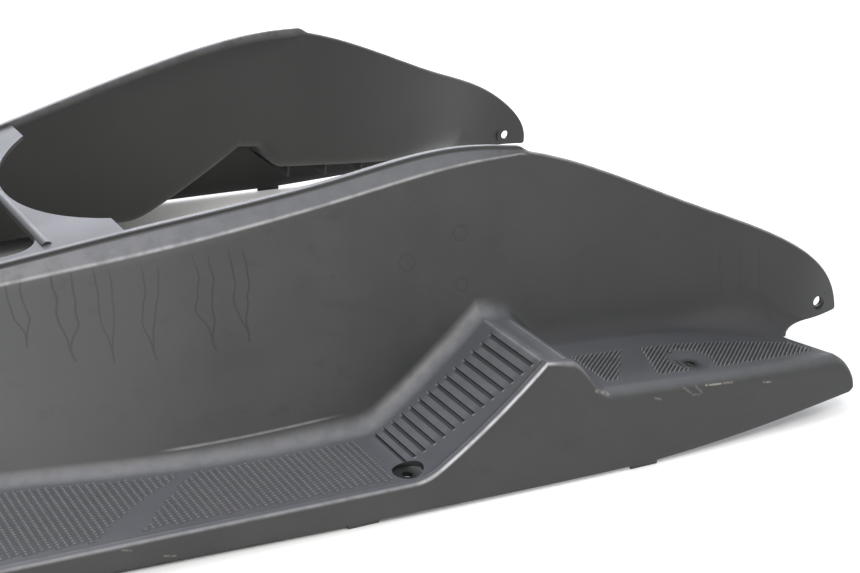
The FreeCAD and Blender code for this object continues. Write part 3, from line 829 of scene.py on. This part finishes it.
def make_roof():
    """Roof bridge between the lips, with its hollow rear edge, opening and bar."""
    x = np.linspace(front, x_roof_edge, 70)
    across = np.linspace(-1, 1, 9)
    half = lip_y(x) + lip_width / 2
    top = lip_z(x) - lip_step
    vertices = []
    for drop in (0.0, wall):
        for i in range(len(x)):
            for u in across:
                vertices.append((x[i], u * half[i], top[i] - drop))
    rows, columns = len(x), len(across)
    layer = rows * columns
    faces = []
    for i in range(rows - 1):
        for j in range(columns - 1):
            a = i * columns + j
            quad = (a, a + 1, a + columns + 1, a + columns)
            faces.append(quad)
            faces.append(tuple(layer + k for k in quad[::-1]))
    numbers = np.arange(layer).reshape(rows, columns)
    sides = [numbers[0], numbers[1:, -1], numbers[-1, -2::-1], numbers[-2:0:-1, 0]]
    ring = np.concatenate(sides).tolist()
    for a, b in zip(ring, ring[1:] + ring[:1]):
        faces.append((a, b, layer + b, layer + a))
    roof = tidy_normals(new_object("roof_bridge", vertices, faces))
    radius = (roof_corner_width ** 2 + roof_hollow ** 2) / (2 * roof_hollow)
    hollow_x = x_roof_edge - roof_hollow + radius
    turn = np.linspace(0, 2 * math.pi, 181)[:-1]
    hollow = prism(
        "hollow",
        [(hollow_x + radius * math.cos(a), radius * math.sin(a), 0) for a in turn],
        (0, 0, 2 * peak_height),
    )
    bar_front = x_roof_edge - roof_hollow - bar_width
    opening_front = bar_front - opening_length
    corners = [
        (opening_front, -opening_front_width),
        (bar_front, -opening_rear_width),
        (bar_front, opening_rear_width),
        (opening_front, opening_front_width),
    ]
    plan = rounded(corners, opening_round)
    opening = prism("opening", [(px, py, 0) for px, py in plan], (0, 0, 2 * peak_height))
    cut_away(roof, [hollow, opening])
    bar_x = bar_front + bar_width / 2
    base = float(lip_z(bar_x)) - lip_step
    arch = arc_points((bar_front, base), (bar_x, base + bar_rise), (bar_front + bar_width, base), 11)
    sunk = base - wall / 2
    profile = [(bar_front + bar_inset, sunk), *arch, (bar_front + bar_width - bar_inset, sunk)]
    bar = prism("bar", [(px, -bar_half_length, pz) for px, pz in profile], (0, 2 * bar_half_length, 0))
    return soften(join("roof_bridge", [roof, bar]), 30)


def rounded(corners, radius):
    """Plane outline with round corners."""
    result = []
    count = len(corners)
    for i in range(count):
        before, here, after = (np.array(corners[(i + k) % count], float) for k in (-1, 0, 1))
        back = (before - here) / np.linalg.norm(before - here)
        ahead = (after - here) / np.linalg.norm(after - here)
        half = math.acos(float(back @ ahead)) / 2
        reach = radius / math.tan(half)
        middle = here + (back + ahead) / np.linalg.norm(back + ahead) * (radius / math.sin(half) - radius)
        result.extend(arc_points(here + back * reach, middle, here + ahead * reach, 10))
    return result


def gussets():
    """Short plates under the dip and the platform, from the tunnel wall to the skirt."""
    pieces = []
    half = gusset_thickness / 2
    for i in range(gusset_count):
        x = x_gusset_first + gusset_pitch * i
        z = float(floor_z(x))
        under = z - wall
        start = float(cove_centre(x, under, wall_across(x), cove_radius(x) + wall)[0])
        end = float(skirt_y(x, under)) - wall
        plate = box("gusset", (x - half, start, z - gusset_height), (x + half, end, z - wall / 2))
        pieces.append(bevelled(plate, gusset_round))
    return pieces


def tabs():
    """Tabs inside the skirt that the part rests on."""
    pieces = []
    half = tab_length / 2
    for i in range(tab_count):
        x = x_tab_first - tab_pitch * i
        y = float(skirt_y(x, tab_drop)) - tab_inset - tab_thickness
        foot = box("tab", (x - half, y, 0), (x + half, y + tab_thickness, tab_drop + wall))
        pieces.append(bevelled(foot, tab_round))
    return pieces


def end_plates():
    """Closing plates under the front end and along the swept rear edge."""
    inside = float(wall_y(front, floor_front))
    outside = float(skirt_y(front, floor_front)) - wall
    far_corner = (front + wall, outside, floor_front - wall / 2)
    front_plate = box("front_plate", (front, inside, tab_drop), far_corner)
    bottom = skirt_end + wall
    outline = [(*sweep_inner, bottom), (*sweep_outer, bottom)]
    outline += [(x - wall, y, bottom) for x, y in (sweep_outer, sweep_inner)]
    rear_plate = prism("rear_plate", outline, (0, 0, platform_end_height - wall / 2 - bottom))
    return [front_plate, rear_plate]


def bosses():
    """Round bosses below the two screw seats and inside the ear."""
    up, out = (0, 0, 1), (0, 1, 0)
    seats = [
        ("seat_boss", screw_boss_radius, x_screw, screw_width, screw_seat_depth),
        ("dish_boss", dish_radius, x_dish, dish_width, dish_depth),
    ]
    pieces = []
    for name, radius, x, y, depth in seats:
        ring = [(screw_hole_radius, -wall), (radius - boss_round, -wall), (radius, boss_round - wall)]
        ring += [(radius, -boss_overlap), (screw_hole_radius, -boss_overlap)]
        pieces.append(turned(name, ring, (x, y, float(floor_z(x)) - depth), up))
    ring = [(ear_hole_radius, 0), (ear_boss_radius - ear_boss_round, 0), (ear_boss_radius, ear_boss_round)]
    ring += [(ear_boss_radius, wall / 2), (ear_hole_radius, wall / 2)]
    pieces.append(turned("ear_boss", ring, (x_ear_hole, ear_y - ear_boss_depth, ear_hole_height), out))
    return pieces


def make_underside():
    """Gussets, tabs, closing plates and bosses of both sides."""
    pieces = gussets() + tabs() + end_plates() + bosses()
    return soften(add_mirror(join("underside", pieces)), 35)


def grip_inner(x):
    radius = onto_platform(x, cove_floor, cove_platform)
    return cove_centre(x, floor_z(x), 0.0, radius)[0] + grip_gap_wall


def grip_outer(x):
    return skirt_y(x, floor_z(x)) - onto_platform(x, rim_width, soft_rim_width) - grip_gap_rim


def slanting_x(y, inner_y, outer_y, ends):
    """Place along the length of a slanting edge at a half width."""
    inner_x, outer_x = ends
    return blend(outer_x, inner_x, (outer_y - y) / (outer_y - inner_y))


def in_grip_field(x, y, ahead, behind):
    """Whether a place lies between hollow and rim and outside the smooth band with these edges."""
    inner, outer = grip_inner(x), grip_outer(x)
    if not inner < y < outer:
        return False
    return x < slanting_x(y, inner, outer, ahead) or x > slanting_x(y, inner, outer, behind)


def in_platform_field(x, y):
    """Whether a grip rib runs over a place on the platform."""
    if x < x_platform + grip_gap_rim or not in_grip_field(x, y, platform_band_ahead, platform_band_behind):
        return False
    if math.hypot(x - x_dish, y - dish_width) < dish_radius + grip_gap_dish:
        return False
    sweep = slanting_x(y, sweep_inner[1], sweep_outer[1], (sweep_inner[0], sweep_outer[0]))
    return x < sweep - grip_gap_rear


def make_floor_grip():
    """Rows of small pyramids on the lower floor, with painted highlight on top and painted shade between."""
    square = [(-0.5, -0.5), (0.5, -0.5), (0.5, 0.5), (-0.5, 0.5)]
    levels = [(point_base_share, -grip_sunk, -0.35), (point_top_share, point_height, 0.2)]
    vertices, faces, tones = [], [], []
    first = front + grip_gap_end + point_pitch_x / 2
    for row, x in enumerate(np.arange(first, x_ramp_foot - grip_gap_end, point_pitch_x)):
        z, slope = floor_z(x), floor_slope(x)
        start = grip_inner(x) + point_pitch_y * (0.5 + 0.5 * (row % 2))
        for y in np.arange(start, grip_outer(x) - point_pitch_y / 2, point_pitch_y):
            if not in_grip_field(x, y, floor_band_ahead, floor_band_behind):
                continue
            faces += loft(len(vertices), 2, 4)
            for scale, lift, tone in levels:
                for u, v in square:
                    dx = u * point_pitch_x * scale
                    vertices.append((x + dx, y + v * point_pitch_y * scale, z + slope * dx + lift))
                    tones.append(tone)
    return soften(add_mirror(new_object("floor_grip", vertices, faces, tones)), 20)


def make_platform_grip():
    """Slanting ribs on the platform, with painted highlight on top and painted shade between."""
    slant = math.atan2(rib_way[1], rib_way[0])
    along = np.array([math.cos(slant), -math.sin(slant)])
    across = np.array([math.sin(slant), math.cos(slant)])
    origin = np.array([x_dish, dish_width])
    ribs = int(rib_reach / rib_pitch)
    steps = int(rib_reach / rib_step)
    vertices, faces, tones = [], [], []
    for k in range(-ribs, ribs + 1):
        base = origin + across * rib_pitch * k
        spots = [base + along * rib_step * i for i in range(-steps, steps + 1)]
        for inside, run in groupby(spots, lambda spot: bool(in_platform_field(*spot))):
            if inside:
                add_rib(vertices, faces, tones, list(run), across * rib_pitch / 2)
    return soften(add_mirror(new_object("platform_grip", vertices, faces, tones)), 25)


def add_rib(vertices, faces, tones, run, half):
    """One rib through the points of a run, with sloping ends, unless the run is too short."""
    if len(run) < 3:
        return
    faces += loft(len(vertices), len(run), 4)
    for i, spot in enumerate(run):
        rise = 0.0 if i in (0, len(run) - 1) else rib_height
        # Painted shade at the foot of each rib, painted highlight on its top
        foot, top = (-grip_sunk, -0.6), (rise, 0.14)
        sides = [(1, *foot), (rib_top_share, *top), (-rib_top_share, *top), (-1, *foot)]
        for side, lift, tone in sides:
            x, y = spot + half * side
            vertices.append((x, y, float(floor_z(x)) + lift))
            tones.append(tone)


class Nodes:
    """Short way to write a material's nodes."""

    def __init__(self, tree):
        self.tree = tree

    def set(self, socket, value):
        if isinstance(value, bpy.types.NodeSocket):
            self.tree.links.new(value, socket)
        else:
            socket.default_value = value

    def add(self, kind, inputs=None, **options):
        node = self.tree.nodes.new(kind)
        for name, value in options.items():
            setattr(node, name, value)
        for name, value in (inputs or {}).items():
            self.set(node.inputs[name], value)
        return node

    def math(self, operation, a, b=0.0, clamp=False):
        node = self.add("ShaderNodeMath", operation=operation, use_clamp=clamp)
        self.set(node.inputs[0], a)
        self.set(node.inputs[1], b)
        return node.outputs[0]

    def times(self, a, b, clamp=False):
        return self.math("MULTIPLY", a, b, clamp)

    def fade(self, value, start, end, low=0.0, high=1.0):
        """Smooth step of a value from low to high."""
        inputs = {"Value": value, "From Min": start, "From Max": end, "To Min": low, "To Max": high}
        return self.add("ShaderNodeMapRange", inputs, interpolation_type="SMOOTHSTEP").outputs[0]

    def noise(self, vector, scale, detail=2.0, roughness=0.5):
        inputs = {"Vector": vector, "Scale": scale, "Detail": detail, "Roughness": roughness}
        return self.add("ShaderNodeTexNoise", inputs).outputs["Fac"]

    def mix(self, factor, a, b):
        node = self.add("ShaderNodeMix", data_type="RGBA", clamp_factor=True)
        self.set(node.inputs[0], factor)
        self.set(node.inputs[6], a)
        self.set(node.inputs[7], b)
        return node.outputs[2]

    def axes(self, vector):
        return self.add("ShaderNodeSeparateXYZ", {"Vector": vector}).outputs

    def stretch(self, vector, scale):
        return self.add("ShaderNodeMapping", {"Vector": vector, "Scale": scale}).outputs[0]

    def join(self, x, y, z):
        return self.add("ShaderNodeCombineXYZ", {"X": x, "Y": y, "Z": z}).outputs[0]

    def vector(self, operation, a, b, output="Vector"):
        node = self.add("ShaderNodeVectorMath", operation=operation)
        self.set(node.inputs[0], a)
        self.set(node.inputs[1], b)
        return node.outputs[output]

    def seen(self):
        """1 for what the camera sees, 0 for the light that falls on other things."""
        path = self.add("ShaderNodeLightPath").outputs
        seen = self.math("ADD", path["Is Camera Ray"], path["Is Transmission Ray"], True)
        return self.math("ADD", seen, path["Is Glossy Ray"], True)

    def largest(self, values):
        result = values[0]
        for value in values[1:]:
            result = self.math("MAXIMUM", result, value)
        return result

    def stroke(self, spot, start, end, width):
        """1 on a straight mark between two points, fading to 0 at its width."""
        run = end - start
        from_start = self.vector("SUBTRACT", spot, start)
        reach = self.vector("DOT_PRODUCT", from_start, run, "Value")
        reach = self.times(reach, 1 / run.length_squared, True)
        nearest = self.vector("MULTIPLY", self.join(reach, reach, reach), run)
        return self.fade(self.vector("DISTANCE", from_start, nearest, "Value"), width, 0.0)

    def drip(self, x, z, place, top, bottom, half):
        """Thin outline of a tongue of dried water that runs down to a point."""
        down = self.fade(z, top, bottom)
        width = self.fade(down, 0.7, 1.0, half, 0.0)
        gap = self.math("ABSOLUTE", self.math("SUBTRACT", x, place))
        edge = self.math("ABSOLUTE", self.math("SUBTRACT", gap, width))
        line = self.fade(edge, 0.9 * MM, 0.2 * MM)
        ends = self.times(self.fade(down, 0.0, 0.25), self.math("LESS_THAN", down, 0.999))
        return self.times(line, ends)

    def ring(self, spot, centre, radius):
        """Thin outline of a dried drop."""
        gap = self.math("SUBTRACT", self.vector("DISTANCE", spot, centre, "Value"), radius)
        return self.fade(self.math("ABSOLUTE", gap), 0.9 * MM, 0.2 * MM)


def new_material(name):
    material = bpy.data.materials.new(name)
    material.use_nodes = True
    nodes = Nodes(material.node_tree)
    return material, nodes, material.node_tree.nodes["Principled BSDF"]


def plastic():
    """Dark moulded plastic with grain, mottling, water marks, scrapes and edge wear, with painted highlight,
    sheen and shade.
    """
    material, n, shader = new_material("moulded_plastic")
    place = n.add("ShaderNodeTexCoord").outputs["Object"]
    x, y, z = n.axes(place)
    mottle = n.noise(place, 16.0, 4.0, 0.6)
    colour = n.mix(n.fade(mottle, 0.3, 0.7), plastic_dark, plastic_pale)
    patches = n.noise(n.stretch(place, (1, 1, 1.6)), 60.0, 3.0, 0.6)
    colour = n.mix(n.fade(patches, 0.56, 0.72, 0.0, 0.4), colour, patch_colour)

    facing = n.axes(n.add("ShaderNodeNewGeometry").outputs["Normal"])
    # Upward faces are paled towards a lavender tone: partly settled dust, partly a painted sheen of the light
    # above
    settled_dust_and_sheen = n.fade(facing["Z"], 0.4, 0.98, 0.0, 0.14)
    colour = n.mix(settled_dust_and_sheen, colour, dust_and_sheen_colour)
    # Painted shade: faces turned towards the middle of the tunnel are darkened
    outward = n.times(facing["Y"], y)
    colour = n.mix(n.fade(outward, -0.02, -0.06, 0.0, 0.8), colour, inner_shade_colour)
    # Painted shade: the plastic darkens towards the rear
    colour = n.mix(n.fade(x, 0.05, 0.43, 0.0, 0.6), colour, rear_shade_colour)

    near = n.math("LESS_THAN", y, 0.0)
    flat = n.join(x, 0.0, z)
    colour = n.mix(n.times(water_marks(n, flat, x, z), near), colour, water_colour)
    # Painted shade in the screw seats and the middle of the dish
    colour = n.mix(recess_shade(n, x, y, z), colour, seat_shade_colour)

    tone = n.add("ShaderNodeAttribute", attribute_name="tone").outputs["Fac"]
    # Where the tone is below zero, painted shade darkens grooves, the lip step, the hollow on the platform
    # and the feet of grip points and ribs
    colour = n.mix(n.times(tone, -1.0, True), colour, painted_shade_colour)
    # Where the tone is above zero, edges are paled by wear and painted highlight
    scuff = n.noise(place, 110.0, 2.0, 0.6)
    wear_and_highlight = n.times(tone, n.fade(scuff, 0.3, 0.62, 0.6, 1.0), True)
    colour = n.mix(wear_and_highlight, colour, wear_and_highlight_colour)
    broken = n.fade(n.noise(place, 420.0, 2.0, 0.6), 0.36, 0.6, 0.1, 0.8)
    scraped = n.times(n.times(scrapes(n, flat), broken), near)
    colour = n.mix(scraped, colour, scrape_colour)
    n.set(shader.inputs["Base Color"], colour)

    n.set(shader.inputs["Roughness"], n.fade(mottle, 0.3, 0.7, 0.44, 0.54))
    shader.inputs["Specular IOR Level"].default_value = 0.5
    grain = n.noise(place, 1400.0, 2.0)
    bump = n.add("ShaderNodeBump", {"Height": grain, "Strength": 0.12, "Distance": 0.0004})
    n.set(shader.inputs["Normal"], bump.outputs[0])
    return material


def water_marks(n, flat, x, z):
    """Dried water on the near wall: tongues, drops and faint streaks, in millimetres."""
    sway = n.noise(n.stretch(flat, (14.0, 1.0, 24.0)), 1.0, 2.0)
    swayed = n.math("ADD", x, n.fade(sway, 0.2, 0.8, -5.0 * MM, 5.0 * MM))
    tongues = [
        (-119.0, 121.0, 78.0, 4.0),
        (-97.0, 129.0, 70.0, 4.6),
        (-75.5, 131.0, 69.0, 4.2),
        (-50.0, 132.0, 69.0, 4.0),
        (-19.0, 138.0, 72.0, 4.6),
        (2.0, 140.0, 75.0, 4.4),
    ]
    marks = [n.drip(swayed, z, *(size * MM for size in tongue)) for tongue in tongues]
    for drop_x, drop_z, radius in ((143.0, 126.0, 4.5), (142.0, 95.0, 4.0), (106.0, 112.0, 5.0)):
        centre = Vector((drop_x, 0, drop_z)) * MM
        marks.append(n.times(n.ring(flat, centre, radius * MM), 0.6))
    for streak_x in (338.0, 352.0, 366.0):
        top, bottom = Vector((streak_x, 0, 94)) * MM, Vector((streak_x, 0, 66)) * MM
        marks.append(n.times(n.stroke(flat, top, bottom, 1.2 * MM), 0.45))
    return n.times(n.largest(marks), 0.7)


def scrapes(n, flat):
    """Pale scrapes along the near edge of the platform and the skirt, in millimetres."""
    lines = [
        (184.5, 54.5, 194.7, 50.0, 1.5, 0.5),
        (250.7, 45.0, 256.0, 41.0, 1.3, 0.3),
        (258.0, 39.5, 264.2, 38.8, 1.2, 0.3),
        (261.0, 44.0, 265.0, 39.5, 1.2, 0.35),
        (268.6, 43.4, 290.2, 41.5, 0.9, 0.9),
        (315.6, 37.2, 322.9, 35.8, 1.1, 0.6),
        (228.3, 42.7, 233.0, 41.0, 1.1, 0.35),
        (-88.0, 6.0, -82.0, 4.9, 1.0, 0.5),
        (-110.7, 13.8, -105.4, 12.4, 0.9, 0.35),
    ]
    marks = []
    for start_x, start_z, end_x, end_z, width, strength in lines:
        start, end = Vector((start_x, 0, start_z)) * MM, Vector((end_x, 0, end_z)) * MM
        marks.append(n.times(n.stroke(flat, start, end, width * MM), strength))
    return n.largest(marks)


def recess_shade(n, x, y, z):
    """Painted shade at the bottom of both kinds of screw seat."""
    spot = n.join(x, n.math("ABSOLUTE", y), 0.0)
    seat = Vector((x_screw, screw_width, 0)) * MM
    seat_gap = n.vector("DISTANCE", spot, seat, "Value")
    floor_level = float(floor_z(x_screw)) * MM
    in_seat = n.fade(seat_gap, (screw_seat_radius + 0.6) * MM, (screw_seat_radius - 0.4) * MM)
    in_seat = n.times(in_seat, n.fade(z, floor_level - 0.2 * MM, floor_level - 1.6 * MM))
    dish = Vector((x_dish, dish_width, 0)) * MM
    dish_gap = n.vector("DISTANCE", spot, dish, "Value")
    return n.math("MAXIMUM", in_seat, n.fade(dish_gap, 8.0 * MM, 3.0 * MM))


def make_floor():
    """Pale floor that glows brighter beside and behind the part than under its roof: painted light and shade,
    seen only by the camera and in reflections.
    """
    size = 6000.0
    corners = [(-size, -size, 0), (size, -size, 0), (size, size, 0), (-size, size, 0)]
    floor = new_object("stage_floor", corners, [(0, 1, 2, 3)])
    material, n, shader = new_material("pale_floor")
    shader.inputs["Base Color"].default_value = (0.86, 0.86, 0.85, 1)
    shader.inputs["Roughness"].default_value = 0.6
    shader.inputs["Specular IOR Level"].default_value = 0.2
    shader.inputs["Emission Color"].default_value = (1, 0.99, 0.97, 1)
    x, y = n.axes(n.add("ShaderNodeTexCoord").outputs["Object"])[:2]
    # Painted light: the floor glows beside and behind the part, and stays darker under the roof as painted
    # shade
    beside = n.fade(n.math("ABSOLUTE", y), 0.265, 0.285)
    within = n.times(n.fade(x, 0.0, 0.22), n.fade(y, -0.2, 0.1))
    glow = n.times(n.math("MAXIMUM", beside, within), 0.33)
    n.set(shader.inputs["Emission Strength"], n.times(n.seen(), glow))
    floor.data.materials.append(material)


def make_surroundings():
    """White surroundings that light the part less than they look."""
    world = bpy.data.worlds.new("surroundings")
    bpy.context.scene.world = world
    world.use_nodes = True
    n = Nodes(world.node_tree)
    background = world.node_tree.nodes["Background"]
    background.inputs["Color"].default_value = (1, 1, 1, 1)
    n.set(background.inputs["Strength"], n.fade(n.seen(), 0.0, 1.0, 0.55, 1.0))


def make_camera():
    """Camera at the photo's place, with the photo's turn and lens."""
    camera = placed("camera", bpy.data.cameras.new("camera"))
    camera.data.sensor_width = 36.0
    camera.data.lens = 70.75
    camera.data.clip_start = 0.05
    place = Matrix.Translation((-0.377, -1.0, 0.485))
    yaw, pitch, roll = (math.radians(a) for a in (31.1, 22.0, 3.7))
    turn = Matrix.Rotation(-yaw, 4, "Z") @ Matrix.Rotation(math.pi / 2 - pitch, 4, "X")
    camera.matrix_world = place @ turn @ Matrix.Rotation(roll, 4, "Z")
    bpy.context.scene.camera = camera


def make_lights():
    """Soft window and ceiling light, and a warmer lamp on the near side."""
    cool, warm = (0.90, 0.92, 1.0), (1.0, 0.97, 0.93)
    add_light("window", (1.0, 1.9, 1.2), (0.0, 0.0, 0.1), (2.4, 1.4), 48.0, cool)
    add_light("ceiling", (-0.3, -0.2, 2.4), (0.0, 0.0, 0.0), (2.6, 2.0), 22.0, cool)
    add_light("lamp", (-0.5, -1.7, 2.1), (0.0, 0.0, 0.1), (1.0, 0.8), 26.0, warm)


def add_light(name, place, target, size, power, colour):
    data = bpy.data.lights.new(name, "AREA")
    data.shape = "RECTANGLE"
    data.size, data.size_y = size
    data.energy = power
    data.color = colour
    light = placed(name, data)
    light.location = place
    light.rotation_euler = (Vector(target) - Vector(place)).to_track_quat("-Z", "Y").to_euler()


def main():
    moulded = plastic()
    shell = make_shell()
    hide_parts("floorboard")
    for piece in (shell, make_roof(), make_underside(), make_floor_grip(), make_platform_grip()):
        piece.data.materials.clear()
        piece.data.materials.append(moulded)
        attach(piece, "root")
    make_floor()
    make_surroundings()
    make_lights()
    make_camera()
    bpy.context.scene.view_settings.view_transform = "Standard"


main()
